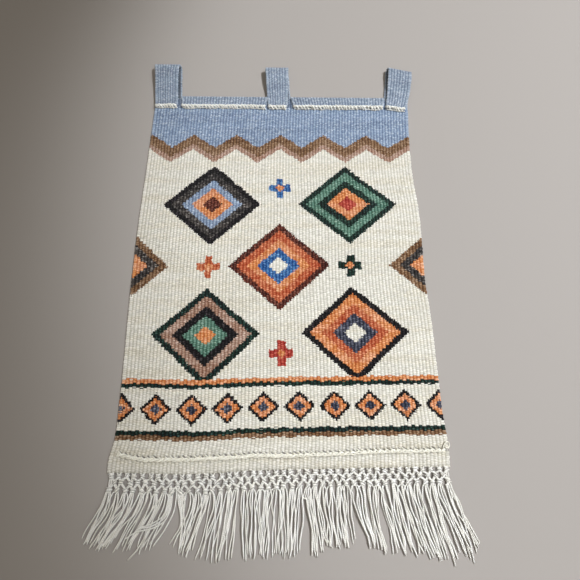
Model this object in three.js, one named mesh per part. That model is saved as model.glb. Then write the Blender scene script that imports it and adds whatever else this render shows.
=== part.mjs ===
// A hand-woven wall tapestry lying flat: a thick weft-faced cloth with two hems turned to the front at its
// top edge, three folded hanging tabs, the threads that sew them down, a twined row above the bottom border
// and a knotted fringe. Millimetres, +Z up. Across the cloth is +X and up the cloth, towards the tabs, is +Y.
import * as THREE from 'three';

// ---- Driving dimensions ----

const clothThick = 4;
const pieceGap = 0.3;
const layerGap = 0.4;
const fringeGap = 0.5;

// Side edges of the panel, by distance up from its bottom edge.
const sideEdges = [
  { up: 0, left: -305, right: 291.5 },
  { up: 22, left: -304.5, right: 293 },
  { up: 54, left: -298.5, right: 292.5 },
  { up: 105, left: -297.5, right: 290 },
  { up: 183, left: -298.5, right: 290.5 },
  { up: 267, left: -301, right: 291 },
  { up: 355, left: -302.5, right: 288.5 },
  { up: 450, left: -303, right: 292 },
  { up: 518, left: -302, right: 293 },
  { up: 602, left: -300, right: 289 },
  { up: 700, left: -298.5, right: 291.5 },
  { up: 790, left: -297, right: 297.5 },
  { up: 822, left: -297, right: 298 },
];
const panelRows = 28;
const warpCount = 88;
const slitGap = 1.2;
const topLine = { up: 820.3, slope: -0.008 };
const bottomLine = { slope: 0.005, dipAcross: -165, dipReach: 90, dip: 5 };

// Places where the cloth stands a little off what it lies on.
const ripples = [
  { across: -190, up: 600, reach: 95, rise: 1.8 },
  { across: 175, up: 470, reach: 110, rise: 2.2 },
  { across: -60, up: 330, reach: 100, rise: 1.5 },
  { across: 205, up: 195, reach: 85, rise: 2.4 },
  { across: -205, up: 165, reach: 85, rise: 1.6 },
];

// Hems: the warps that each is woven on, counted from the left, and how far each end is drawn inwards
// where it is sewn down.
const hemDepth = 28.5;
const hems = [
  { name: 'left', firstWarp: 9, lastWarp: 39, leftDraw: 0.5, rightDraw: -2.5, columns: 7 },
  { name: 'right', firstWarp: 47, lastWarp: 80, leftDraw: 5.5, rightDraw: -2.5, columns: 8 },
];
const columnsUnderTab = 2;
const foldSteps = 6;
const hemLayerSteps = 2;

// Tabs: the warps that each is woven on, the two ends of its fold, and the two ends of its sewn edge. Its
// front's two sides are drawn across near the fold by frontDraw, and its back's at the fold by backDraw.
const loopHeight = 17;
const tabColumns = 4;
const tabBackSteps = 5;
const tabFoldSteps = 8;
const tabFrontSteps = 9;
const tabWidthPower = 0.75;
const tabSettledPart = 0.82;
const tabDrawPower = 0.6;
const tabs = [
  {
    name: 'left', firstWarp: 0, lastWarp: 9,
    foldLeft: { x: -305.5, y: 914.5 }, foldRight: { x: -246, y: 914 },
    endLeft: { x: -295, y: 794.5 }, endRight: { x: -245, y: 794.3 },
    frontDraw: { left: 1, right: -6.5 }, backDraw: { left: 0, right: 2 },
  },
  {
    name: 'middle', firstWarp: 39, lastWarp: 47,
    foldLeft: { x: -38.5, y: 905.5 }, foldRight: { x: 15, y: 905 },
    endLeft: { x: -31, y: 791.6 }, endRight: { x: 13, y: 791.2 },
    frontDraw: { left: 0, right: 0 }, backDraw: { left: 0, right: 0 },
  },
  {
    name: 'right', firstWarp: 80, lastWarp: 88,
    foldLeft: { x: 261.2, y: 906.5 }, foldRight: { x: 314.3, y: 893 },
    endLeft: { x: 245.7, y: 791 }, endRight: { x: 291.5, y: 785 },
    frontDraw: { left: 0, right: 2 }, backDraw: { left: -4.5, right: 0 },
  },
];

const seamCord = { width: 4.2, height: 4.2, steps: 10, inset: 1, gap: 0.4 };
const twinedCord = { width: 4.6, height: 3, steps: 44, left: -291, right: 286, stations: 22 };
const twinedLine = {
  up: 21.9, slope: 0.024,
  waves: [
    { across: -305, reach: 50, rise: 12.5 },
    { across: -55, reach: 40, rise: 2.2 },
    { across: 160, reach: 45, rise: 1.5 },
  ],
};

// Fringe: where a strand leaves the knots, and where its tip lies.
const knotBand = { depth: 33, thick: 6, rows: 3 };
const strandTeeth = { count: 22, thick: 4, rows: 5, rootSpace: 1.2, tipSpace: 3 };
const strandReach = [
  { root: -305, tip: -331, drop: -110 },
  { root: -262, tip: -300, drop: -120 },
  { root: -215, tip: -250, drop: -118 },
  { root: -160, tip: -195, drop: -119 },
  { root: -120, tip: -140, drop: -130 },
  { root: -90, tip: -105, drop: -136 },
  { root: -50, tip: -52, drop: -135 },
  { root: 10, tip: 12, drop: -132 },
  { root: 70, tip: 76, drop: -123 },
  { root: 130, tip: 143, drop: -119 },
  { root: 190, tip: 212, drop: -130 },
  { root: 225, tip: 249, drop: -137.5 },
  { root: 258, tip: 284, drop: -138.5 },
  { root: 291.5, tip: 322, drop: -129 },
];
const cordSides = 8;

const colours = {
  panel: '#d9d2c0',
  tab: '#95a9c0',
  thread: '#efece0',
  fringe: '#e6dfcd',
};

// ---- Small helpers ----

const mix = THREE.MathUtils.lerp;

function clothMaterial(colour) {
  return new THREE.MeshStandardMaterial({ color: colour, roughness: 0.95, metalness: 0 });
}

// A smooth curve through the rows of a table: the value of one column where another column equals at.
function tableAt(table, keyColumn, at, valueColumn) {
  const last = table.length - 1;
  let row = 0;
  while (row < last - 1 && at > table[row + 1][keyColumn]) row += 1;
  const slopeAt = (index) => {
    const before = table[Math.max(index - 1, 0)];
    const after = table[Math.min(index + 1, last)];
    return (after[valueColumn] - before[valueColumn]) / (after[keyColumn] - before[keyColumn]);
  };
  const low = table[row];
  const high = table[row + 1];
  const span = high[keyColumn] - low[keyColumn];
  const part = THREE.MathUtils.clamp((at - low[keyColumn]) / span, 0, 1);
  const riseHigh = part * part * (3 - 2 * part);
  const leaveLow = part * (1 - part) * (1 - part) * span;
  const meetHigh = part * part * (part - 1) * span;
  return mix(low[valueColumn], high[valueColumn], riseHigh)
    + leaveLow * slopeAt(row) + meetHigh * slopeAt(row + 1);
}

// A sheet of cloth with thickness. pointAt(column, row, side) places the corners of a grid on side 1 and
// side -1, and isCloth(column, row) says which of its cells are cloth.
function sheetSolid(columns, rows, isCloth, pointAt) {
  const positions = [];
  const corners = new Map();
  const triangles = [];
  const hasCloth = (column, row) => {
    const inside = column >= 0 && row >= 0 && column < columns && row < rows;
    return inside && isCloth(column, row);
  };
  const corner = (column, row, side) => {
    const key = `${column} ${row} ${side}`;
    if (!corners.has(key)) {
      corners.set(key, positions.length / 3);
      positions.push(...pointAt(column, row, side).toArray());
    }
    return corners.get(key);
  };
  const quad = (a, b, c, d) => triangles.push(a, b, c, a, c, d);
  const wall = (from, to) => {
    quad(corner(...from, -1), corner(...to, -1), corner(...to, 1), corner(...from, 1));
  };
  for (let column = 0; column < columns; column += 1) {
    for (let row = 0; row < rows; row += 1) {
      if (!hasCloth(column, row)) continue;
      const ring = [[column, row], [column + 1, row], [column + 1, row + 1], [column, row + 1]];
      quad(...ring.map((place) => corner(...place, 1)));
      quad(...ring.map((place) => corner(...place, -1)).reverse());
      if (!hasCloth(column, row - 1)) wall(ring[0], ring[1]);
      if (!hasCloth(column + 1, row)) wall(ring[1], ring[2]);
      if (!hasCloth(column, row + 1)) wall(ring[2], ring[3]);
      if (!hasCloth(column - 1, row)) wall(ring[3], ring[0]);
    }
  }
  const solid = new THREE.BufferGeometry();
  solid.setAttribute('position', new THREE.Float32BufferAttribute(positions, 3));
  solid.setIndex(triangles);
  return solid;
}

// A cord of oval section along a smooth curve that lies level.
function cordSolid(points, section, steps) {
  const oval = new THREE.Shape();
  for (let side = 0; side < cordSides; side += 1) {
    const angle = (side + 0.5) * 2 * Math.PI / cordSides;
    const across = section.height / 2 * Math.cos(angle) / Math.cos(Math.PI / cordSides);
    const along = section.width / 2 * Math.sin(angle) / Math.cos(Math.PI / cordSides);
    if (side === 0) oval.moveTo(across, along);
    else oval.lineTo(across, along);
  }
  oval.closePath();
  const extrudePath = new THREE.CatmullRomCurve3(points);
  return new THREE.ExtrudeGeometry(oval, { steps, extrudePath });
}

// ---- Shape of the cloth on the surface ----

function rippleLift(x, y) {
  return ripples.reduce((lift, ripple) => {
    const away = Math.hypot(x - ripple.across, y - ripple.up) / ripple.reach;
    return away < 1 ? lift + ripple.rise * (1 - away * away) ** 2 : lift;
  }, 0);
}

function topEdge(x) {
  return topLine.up + topLine.slope * x;
}

function bottomEdge(x) {
  const away = (x - bottomLine.dipAcross) / bottomLine.dipReach;
  return bottomLine.slope * x - bottomLine.dip * Math.exp(-away * away);
}

// The ends, at the top edge, of a strip that is woven on some of the warps and slit from its neighbours.
function stripEnds(strip) {
  const top = sideEdges[sideEdges.length - 1];
  const warpX = (warp) => mix(top.left, top.right, warp / warpCount);
  return { left: warpX(strip.firstWarp) + slitGap, right: warpX(strip.lastWarp) - slitGap };
}

// Where a thread that crosses the top edge at topX lies further down the cloth.
function threadX(topX, y) {
  const top = sideEdges[sideEdges.length - 1];
  const across = (topX - top.left) / (top.right - top.left);
  return mix(tableAt(sideEdges, 'up', y, 'left'), tableAt(sideEdges, 'up', y, 'right'), across);
}

function twinedUp(x) {
  return twinedLine.waves.reduce((up, wave) => {
    const away = (x - wave.across) / wave.reach;
    return up + wave.rise * Math.exp(-away * away);
  }, twinedLine.up + twinedLine.slope * x);
}

// ---- Panel with its two turned hems ----

// Column lines of the panel along its top edge, each with the hem that lies to its right, if any.
function panelColumnLines() {
  const top = sideEdges[sideEdges.length - 1];
  const lines = [];
  const addLines = (from, to, count, hem) => {
    for (let step = 0; step < count; step += 1) lines.push({ x: mix(from, to, step / count), hem });
  };
  let reached = top.left;
  for (const hem of hems) {
    const ends = stripEnds(hem);
    addLines(reached, ends.left, columnsUnderTab, null);
    addLines(ends.left, ends.right, hem.columns, hem);
    reached = ends.right;
  }
  addLines(reached, top.right, columnsUnderTab, null);
  lines.push({ x: top.right, hem: null });
  return lines;
}

function panelSolid() {
  const lines = panelColumnLines();
  const foldOuter = clothThick + layerGap / 2;
  const foldMiddle = (clothThick + layerGap) / 2;
  const rows = panelRows + foldSteps + hemLayerSteps;

  const baseCorner = (line, row, side) => {
    const part = row / panelRows;
    const nearY = mix(bottomEdge(line.x), topEdge(line.x) - foldOuter, part);
    const x = threadX(line.x, nearY);
    const y = mix(bottomEdge(x), topEdge(x) - foldOuter, part);
    return new THREE.Vector3(x, y, clothThick / 2 * (1 + side) + rippleLift(x, y));
  };
  const foldCorner = (line, row, side) => {
    const turn = Math.PI * (row - panelRows) / foldSteps;
    const radius = foldMiddle - side * clothThick / 2;
    const y = topEdge(line.x) - foldOuter + radius * Math.sin(turn);
    return new THREE.Vector3(line.x, y, foldOuter - radius * Math.cos(turn));
  };
  const hemLayerCorner = (column, row, side) => {
    const line = lines[column];
    const hem = line.hem ?? lines[column - 1].hem;
    const ends = stripEnds(hem);
    const part = (row - panelRows - foldSteps) / hemLayerSteps;
    const draw = mix(hem.leftDraw, hem.rightDraw, (line.x - ends.left) / (ends.right - ends.left));
    const y = topEdge(line.x) - mix(foldOuter, hemDepth, part);
    return new THREE.Vector3(line.x + draw * part, y, clothThick * 1.5 + layerGap - side * clothThick / 2);
  };
  const pointAt = (column, row, side) => {
    if (row <= panelRows) return baseCorner(lines[column], row, side);
    if (row <= panelRows + foldSteps) return foldCorner(lines[column], row, side);
    return hemLayerCorner(column, row, side);
  };
  const isCloth = (column, row) => row < panelRows || lines[column].hem !== null;
  return sheetSolid(lines.length - 1, rows, isCloth, pointAt);
}

// ---- Hanging tabs ----

// Stations along a tab, from the panel up the back, round the fold and down the front. On the flat layers
// part runs from 0 at the fold to 1 at the layer's far end, and round the fold turn runs from 0 to half a turn.
function tabStations() {
  const restHeight = clothThick * 1.5 + pieceGap;
  const foldHeight = loopHeight - clothThick / 2;
  const stations = [];
  for (let step = 0; step < tabBackSteps; step += 1) {
    stations.push({ layer: 'back', part: 1 - step / tabBackSteps, height: clothThick / 2, normalUp: 1 });
  }
  for (let step = 0; step <= tabFoldSteps; step += 1) {
    stations.push({ layer: 'fold', turn: Math.PI * step / tabFoldSteps });
  }
  for (let step = 1; step <= tabFrontSteps; step += 1) {
    const part = step / tabFrontSteps;
    const settle = THREE.MathUtils.smoothstep(part, 0, tabSettledPart);
    stations.push({ layer: 'front', part, height: mix(foldHeight, restHeight, settle), normalUp: -1 });
  }
  return stations;
}

function between(left, right, across) {
  return new THREE.Vector2(mix(left.x, right.x, across), mix(left.y, right.y, across));
}

function tabSolid(tab) {
  const stations = tabStations();
  const half = clothThick / 2;
  const turnOuter = loopHeight / 2;
  const backEnds = stripEnds(tab);
  const pointAt = (column, row, side) => {
    const across = column / tabColumns;
    const station = stations[row];
    const fold = between(tab.foldLeft, tab.foldRight, across);
    const end = between(tab.endLeft, tab.endRight, across);
    const backX = mix(backEnds.left, backEnds.right, across);
    const back = new THREE.Vector2(backX, topEdge(backX) - clothThick - layerGap / 2 + pieceGap);
    const backDraw = mix(tab.backDraw.left, tab.backDraw.right, across);
    if (station.layer === 'fold') {
      const radius = turnOuter - half - side * half;
      const backWay = back.clone().sub(fold).normalize();
      const frontWay = end.clone().sub(fold).normalize();
      const way = backWay.lerp(frontWay, station.turn / Math.PI).normalize();
      const place = fold.clone().addScaledVector(way, turnOuter - radius * Math.sin(station.turn));
      place.x += backDraw * (1 + Math.cos(station.turn)) / 2;
      return new THREE.Vector3(place.x, place.y, turnOuter - radius * Math.cos(station.turn));
    }
    const target = station.layer === 'back' ? back : end;
    const length = target.distanceTo(fold);
    const start = fold.clone().lerp(target, turnOuter / length);
    const place = start.clone().lerp(target, station.part);
    if (station.layer === 'front') {
      const spread = 1 - (1 - station.part) ** tabWidthPower;
      const drawn = Math.sin(Math.PI * station.part ** tabDrawPower);
      place.x = mix(start.x, target.x, spread) + mix(tab.frontDraw.left, tab.frontDraw.right, across) * drawn;
    } else {
      place.x += backDraw * (1 - station.part);
    }
    return new THREE.Vector3(place.x, place.y, station.height + side * station.normalUp * half);
  };
  return sheetSolid(tabColumns, stations.length - 1, () => true, pointAt);
}

// ---- Threads sewn and twined on the face ----

// The cord of white stitches that lies along a sewn-down end, in the step between it and the cloth below.
function seamSolid(from, to) {
  const down = seamCord.gap + seamCord.width / 2;
  const height = clothThick + pieceGap + seamCord.height / 2;
  const left = new THREE.Vector3(from.x + seamCord.inset, from.y - down, height);
  const right = new THREE.Vector3(to.x - seamCord.inset, to.y - down, height);
  const middle = left.clone().lerp(right, 0.5);
  return cordSolid([left, middle, right], seamCord, seamCord.steps);
}

function hemEnd(hem, side) {
  const draw = side === 'left' ? hem.leftDraw : hem.rightDraw;
  const foldX = stripEnds(hem)[side];
  return { x: foldX + draw, y: topEdge(foldX) - hemDepth };
}

function twinedRowSolid() {
  const points = [];
  const height = clothThick + pieceGap + twinedCord.height / 2;
  for (let station = 0; station <= twinedCord.stations; station += 1) {
    const x = mix(twinedCord.left, twinedCord.right, station / twinedCord.stations);
    points.push(new THREE.Vector3(x, twinedUp(x), height));
  }
  return cordSolid(points, twinedCord, twinedCord.steps);
}

// ---- Fringe ----

function fringeSolid() {
  const first = strandReach[0].root;
  const last = strandReach[strandReach.length - 1].root;
  const pitch = (last - first) / strandTeeth.count;
  const columns = strandTeeth.count * 2 - 1;
  const rows = strandTeeth.rows + knotBand.rows;

  const pointAt = (column, row, side) => {
    const tooth = Math.floor(column / 2);
    const onRight = column % 2 === 1;
    const bandPart = THREE.MathUtils.clamp((row - strandTeeth.rows) / knotBand.rows, 0, 1);
    const toothPart = THREE.MathUtils.clamp(row / strandTeeth.rows, 0, 1);
    const space = mix(strandTeeth.tipSpace, strandTeeth.rootSpace, toothPart);
    const edge = first + pitch * (tooth + (onRight ? 1 : 0));
    const atBorder = edge === first || (onRight && tooth === strandTeeth.count - 1);
    const shift = atBorder ? 0 : (onRight ? -space : space) / 2;
    const rootX = edge + shift;
    const tipX = tableAt(strandReach, 'root', edge, 'tip') + shift;
    const rootY = bottomEdge(rootX) - fringeGap;
    const bandY = rootY - knotBand.depth;
    const tipY = tableAt(strandReach, 'root', edge, 'drop');
    const x = mix(tipX, rootX, toothPart);
    const y = row <= strandTeeth.rows ? mix(tipY, bandY, toothPart) : mix(bandY, rootY, bandPart);
    const thick = row < strandTeeth.rows ? strandTeeth.thick : knotBand.thick;
    return new THREE.Vector3(x, y, side > 0 ? thick : 0);
  };
  const isCloth = (column, row) => column % 2 === 0 || row >= strandTeeth.rows;
  return sheetSolid(columns, rows, isCloth, pointAt);
}

// ---- Assembly ----

const tapestry = new THREE.Group();

function addPiece(name, solid, colour) {
  const piece = new THREE.Mesh(solid, clothMaterial(colour));
  piece.name = name;
  tapestry.add(piece);
}

addPiece('panel', panelSolid(), colours.panel);
for (const tab of tabs) {
  addPiece(`tab_${tab.name}`, tabSolid(tab), colours.tab);
  addPiece(`seam_tab_${tab.name}`, seamSolid(tab.endLeft, tab.endRight), colours.thread);
}
for (const hem of hems) {
  const seam = seamSolid(hemEnd(hem, 'left'), hemEnd(hem, 'right'));
  addPiece(`seam_hem_${hem.name}`, seam, colours.thread);
}
addPiece('twined_row', twinedRowSolid(), colours.thread);
addPiece('fringe', fringeSolid(), colours.fringe);

// The origin is on the surface below the middle of the whole piece.
const bounds = new THREE.Box3().setFromObject(tapestry);
const middle = bounds.getCenter(new THREE.Vector3());
tapestry.position.set(-middle.x, -middle.y, 0);

export default tapestry;
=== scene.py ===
# A hand-woven wall tapestry lying flat on a pale floor: a weft-faced panel with two hems turned to the
# front, three folded hanging tabs, the threads that sew them down, a twined row and a knotted fringe.
# Lengths are millimetres. X runs across the cloth, Y up it from the panel's bottom edge towards the tabs,
# and Z off the surface it lies on. make_mesh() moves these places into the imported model's frame, in metres.
import math
from functools import partialmethod

import bpy
import numpy as np
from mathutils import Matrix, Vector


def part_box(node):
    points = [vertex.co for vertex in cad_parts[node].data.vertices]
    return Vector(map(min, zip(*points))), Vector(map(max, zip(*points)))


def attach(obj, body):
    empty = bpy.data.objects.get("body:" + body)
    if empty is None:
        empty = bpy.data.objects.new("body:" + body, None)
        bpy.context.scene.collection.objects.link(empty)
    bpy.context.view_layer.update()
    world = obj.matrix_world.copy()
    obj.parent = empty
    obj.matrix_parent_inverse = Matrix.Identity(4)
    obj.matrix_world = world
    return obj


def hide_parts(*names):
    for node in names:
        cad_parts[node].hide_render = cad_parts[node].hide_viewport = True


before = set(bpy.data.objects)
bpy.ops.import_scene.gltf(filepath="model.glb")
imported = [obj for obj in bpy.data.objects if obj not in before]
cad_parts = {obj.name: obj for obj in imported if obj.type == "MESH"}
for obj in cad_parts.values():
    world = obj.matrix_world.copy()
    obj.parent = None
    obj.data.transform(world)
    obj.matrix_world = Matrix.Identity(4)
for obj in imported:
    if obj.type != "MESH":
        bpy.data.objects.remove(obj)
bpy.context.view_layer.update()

# ---- Driving sizes, the same as the part's own ----

CLOTH_THICK = 4.0
LAYER_GAP = 0.4
WARPS = 88
SLIT_GAP = 1.2
SIDE_UP = (0, 22, 54, 105, 183, 267, 355, 450, 518, 602, 700, 790, 822)
LEFT_EDGE = (-305, -304.5, -298.5, -297.5, -298.5, -301, -302.5, -303, -302, -300, -298.5, -297, -297)
RIGHT_EDGE = (291.5, 293, 292.5, 290, 290.5, 291, 288.5, 292, 293, 289, 291.5, 297.5, 298)
TOP_UP = 820.3
TOP_SLOPE = -0.008
BOTTOM_SLOPE = 0.005
BOTTOM_WAVES = ((-165, 90, -5.0),)  # across, reach, rise
RIPPLES = (  # across, up, reach, rise
    (-190, 600, 95, 1.8),
    (175, 470, 110, 2.2),
    (-60, 330, 100, 1.5),
    (205, 195, 85, 2.4),
    (-205, 165, 85, 1.6),
)
HEM_DEPTH = 28.5
HEMS = (
    {"name": "left", "first": 9, "last": 39, "draws": (0.5, -2.5)},
    {"name": "right", "first": 47, "last": 80, "draws": (5.5, -2.5)},
)
LOOP_HEIGHT = 17.0
TAB_LENGTHS = {"back": 86, "fold": 22, "front": 112}
TAB_REST_HEIGHT = CLOTH_THICK * 1.5 + 0.3  # of the middle of a sewn end, which lies on the panel
TAB_WIDTH_POWER = 0.75
TAB_SETTLED_PART = 0.82
TAB_DRAW_POWER = 0.6
TAB_DRAW_START = 0.1
TABS = (  # the two ends of each fold and of each sewn edge, and how far the sides are drawn across
    {
        "name": "left", "first": 0, "last": 9,
        "fold": ((-305.5, 914.5), (-246, 914)), "end": ((-295, 794.5), (-245, 794.3)),
        "front_draw": (1, -3), "back_draw": (0, 2),
    },
    {
        "name": "middle", "first": 39, "last": 47,
        "fold": ((-38.5, 905.5), (15, 905)), "end": ((-31, 791.6), (13, 791.2)),
        "front_draw": (0, 0), "back_draw": (0, 0),
    },
    {
        "name": "right", "first": 80, "last": 88,
        "fold": ((261.2, 906.5), (314.3, 893)), "end": ((245.7, 791), (291.5, 785)),
        "front_draw": (0, 2), "back_draw": (-4.5, 0),
    },
)
TWINED_ENDS = (-291.0, 286.0)
TWINED_LINE = (21.9, 0.024)  # how far up at x = 0, and its slope
TWINED_WAVES = ((-305, 50, 12.5), (-55, 40, 2.2), (160, 45, 1.5))  # across, reach, rise
TWINED_PITCH = 10.2
# Where bundles of the fringe start across, where they end across, and how far up they end.
STRAND_ROOT = (-305, -262, -215, -160, -120, -90, -50, 10, 70, 130, 190, 225, 258, 291.5)
STRAND_TIP = (-331, -300, -250, -195, -140, -105, -52, 12, 76, 143, 212, 249, 284, 322)
STRAND_DROP = (-110, -120, -118, -119, -130, -136, -135, -132, -123, -119, -130, -137.5, -138.5, -129)

# ---- Sizes of the weave and yarn ----

RIB_STEPS = 4
BASE_ROWS = 120
FOLD_ROWS = 6
HEM_ROWS = 8
MID_HEIGHT = 2.05
FOLD_OUTER = CLOTH_THICK + LAYER_GAP / 2
FOLD_RADIUS = FOLD_OUTER - MID_HEIGHT
CREST = 2.05
VALLEY = 1.15
RIB_ROUNDNESS = 0.8
CREST_PARTS = (0.9, 1)  # the flattest and the fullest rib, as parts of a crest
BEAD = 4.0
TAB_STEP = BEAD / 2
BASE_LENGTH = 816.0
PITCH = (RIGHT_EDGE[-1] - LEFT_EDGE[-1]) / WARPS
SEEDS = {"panel": 11, "selvedges": 3, "twined_row": 5, "knots": 21, "strands": 33}

MM = 0.001
SHIFT = (
    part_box("panel")[0].x / MM - LEFT_EDGE[0],
    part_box("tab_left")[1].y / MM - TABS[0]["fold"][0][1],
    0.0,
)


# ---- Small helpers ----

def mix(low, high, part):
    return low + (high - low) * part


def smoothstep(part, low, high):
    part = np.clip((part - low) / (high - low), 0, 1)
    return part * part * (3 - 2 * part)


def unit(vectors):
    return vectors / np.linalg.norm(vectors, axis=-1, keepdims=True)


def distances(line):
    """How far along a line each of its points is."""
    return np.concatenate([[0], np.cumsum(np.linalg.norm(np.diff(line, axis=0), axis=1))])


def with_height(flat, height):
    """Points seen from above, all raised to one height."""
    return np.concatenate([flat, np.full((len(flat), 1), height)], 1)


def curve_at(places, values, at):
    """A smooth curve through the given values at the given places, read at other places."""
    places = np.asarray(places, float)
    values = np.asarray(values, float)
    slopes = np.empty_like(values)
    slopes[1:-1] = (values[2:] - values[:-2]) / (places[2:] - places[:-2])
    slopes[0] = (values[1] - values[0]) / (places[1] - places[0])
    slopes[-1] = (values[-1] - values[-2]) / (places[-1] - places[-2])
    row = np.clip(np.searchsorted(places, at, side="right") - 1, 0, len(places) - 2)
    span = places[row + 1] - places[row]
    part = np.clip((at - places[row]) / span, 0, 1)
    rise = part * part * (3 - 2 * part)
    leave = part * (1 - part) ** 2 * span
    meet = part * part * (part - 1) * span
    return mix(values[row], values[row + 1], rise) + leave * slopes[row] + meet * slopes[row + 1]


def resampled(line, step):
    """The same line with its points about one step apart, and their distances along it."""
    line = np.asarray(line, float)
    along = distances(line)
    even = np.linspace(0, along[-1], max(int(along[-1] / step), 2) + 1)
    return np.stack([np.interp(even, along, line[:, axis]) for axis in range(line.shape[1])], -1), even


def smooth_line(points, step):
    """A smooth curve through a few given points, with its points about one step apart."""
    points = np.asarray(points, float)
    along = distances(points)
    even = np.linspace(0, along[-1], max(int(along[-1] / step), 4) + 1)
    return np.stack([curve_at(along, points[:, axis], even) for axis in range(points.shape[1])], -1)


# ---- Shape of the cloth on the floor ----

def ripple_lift(x, y):
    lift = np.zeros(np.broadcast(x, y).shape)
    for across, up, reach, rise in RIPPLES:
        away = np.clip(np.hypot(x - across, y - up) / reach, 0, 1)
        lift += rise * (1 - away**2) ** 2
    return lift


def waves(x, rises):
    """The sum of a few smooth rises, each as its place across, its reach and its height."""
    return sum(rise * np.exp(-(((x - across) / reach) ** 2)) for across, reach, rise in rises)


def top_edge(x):
    return TOP_UP + TOP_SLOPE * x


def bottom_edge(x):
    return BOTTOM_SLOPE * x + waves(x, BOTTOM_WAVES)


def twined_up(x):
    return TWINED_LINE[0] + TWINED_LINE[1] * x + waves(x, TWINED_WAVES)


def top_x(warp):
    return mix(LEFT_EDGE[-1], RIGHT_EDGE[-1], warp / WARPS)


def warp_x(warp, y):
    return mix(curve_at(SIDE_UP, LEFT_EDGE, y), curve_at(SIDE_UP, RIGHT_EDGE, y), warp / WARPS)


def strip_ends(strip):
    return top_x(strip["first"]) + SLIT_GAP, top_x(strip["last"]) - SLIT_GAP


def strip_x(strip, warp):
    left, right = strip_ends(strip)
    return mix(left, right, (warp - strip["first"]) / (strip["last"] - strip["first"]))


def panel_place(warp, part):
    """A point of the panel's middle surface: its warp, and its part of the way up."""
    edge_x = top_x(warp)
    near_y = mix(bottom_edge(edge_x), top_edge(edge_x) - FOLD_OUTER, part)
    x = warp_x(warp, near_y)
    y = mix(bottom_edge(x), top_edge(x) - FOLD_OUTER, part)
    return np.stack([x, y, MID_HEIGHT + ripple_lift(x, y)], -1)


def fold_place(strip, warp, turn):
    x = strip_x(strip, warp)
    y = top_edge(x) - FOLD_OUTER + FOLD_RADIUS * np.sin(turn)
    z = FOLD_OUTER - FOLD_RADIUS * np.cos(turn)
    return np.stack(np.broadcast_arrays(x, y, z), -1)


def hem_place(strip, warp, part):
    x = strip_x(strip, warp)
    across = (warp - strip["first"]) / (strip["last"] - strip["first"])
    y = top_edge(x) - mix(FOLD_OUTER, HEM_DEPTH, part)
    x = x + mix(*strip["draws"], across) * part
    return np.stack(np.broadcast_arrays(x, y, 2 * FOLD_OUTER - MID_HEIGHT), -1)


def tab_stations():
    """Stations along a tab, from the panel up its back, round the fold and down its front."""
    back, fold, front = (int(length / TAB_STEP) for length in TAB_LENGTHS.values())
    stations = [("back", 1 - part) for part in np.arange(back) / back]
    stations += [("fold", math.pi * part) for part in np.arange(fold + 1) / fold]
    stations += [("front", part) for part in np.arange(1, front + 1) / front]
    return stations


def loop_start(fold, target):
    """Where a layer of a tab leaves the round of its fold, on the way to its other end."""
    length = np.linalg.norm(target - fold, axis=1, keepdims=True)
    return mix(fold, target, LOOP_HEIGHT / 2 / length)


def tab_back_place(back, fold, back_draw, at):
    flat = mix(loop_start(fold, back), back, at)
    flat[:, 0] += back_draw * (1 - at)
    return with_height(flat, MID_HEIGHT), with_height(np.zeros_like(flat), 1)


def tab_fold_place(back, fold, end, back_draw, front_draw, turn):
    centre = LOOP_HEIGHT / 2
    radius = centre - MID_HEIGHT
    way = unit(mix(unit(back - fold), unit(end - fold), turn / math.pi))
    flat = fold + way * (centre - radius * math.sin(turn))
    front_draw = front_draw * math.sin(math.pi * TAB_DRAW_START)
    flat[:, 0] += mix(front_draw, back_draw, (1 + math.cos(turn)) / 2)
    inner = with_height(way * math.sin(turn), math.cos(turn))
    return with_height(flat, centre - radius * math.cos(turn)), inner


def tab_front_place(end, fold, front_draw, at):
    start = loop_start(fold, end)
    flat = mix(start, end, at)
    drawn = front_draw * math.sin(math.pi * mix(TAB_DRAW_START, 1, at**TAB_DRAW_POWER))
    flat[:, 0] = mix(start[:, 0], end[:, 0], 1 - (1 - at) ** TAB_WIDTH_POWER) + drawn
    height = mix(LOOP_HEIGHT - MID_HEIGHT, TAB_REST_HEIGHT, smoothstep(at, 0, TAB_SETTLED_PART))
    return with_height(flat, height), with_height(np.zeros_like(flat), -1)


def tab_place(tab, across, station):
    """Points across a tab's middle surface at a station, and the way its inner side faces there."""
    layer, at = station
    fold = mix(*np.array(tab["fold"], float), across[:, None])
    end = mix(*np.array(tab["end"], float), across[:, None])
    back_x = mix(*strip_ends(tab), across)
    back = np.stack([back_x, top_edge(back_x) - FOLD_OUTER], -1)
    back_draw = mix(*tab["back_draw"], across)
    front_draw = mix(*tab["front_draw"], across)
    if layer == "back":
        return tab_back_place(back, fold, back_draw, at)
    if layer == "fold":
        return tab_fold_place(back, fold, end, back_draw, front_draw, at)
    return tab_front_place(end, fold, front_draw, at)


# ---- Meshes ----

def add_object(name, data):
    thing = bpy.data.objects.new(name, data)
    bpy.context.collection.objects.link(thing)
    return thing


def make_mesh(name, points, faces, marks, material):
    """An object from points in millimetres, with the numbers that its material reads at each point."""
    mesh = bpy.data.meshes.new(name)
    mesh.from_pydata(((np.asarray(points) + SHIFT) * MM).tolist(), [], faces)
    for mark, values in marks.items():
        kind, field = ("FLOAT_VECTOR", "vector") if values.ndim == 2 else ("FLOAT", "value")
        mesh.attributes.new(mark, kind, "POINT").data.foreach_set(field, values.astype(np.float32).ravel())
    mesh.materials.append(material)
    mesh.shade_smooth()
    return add_object(name, mesh)


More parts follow.
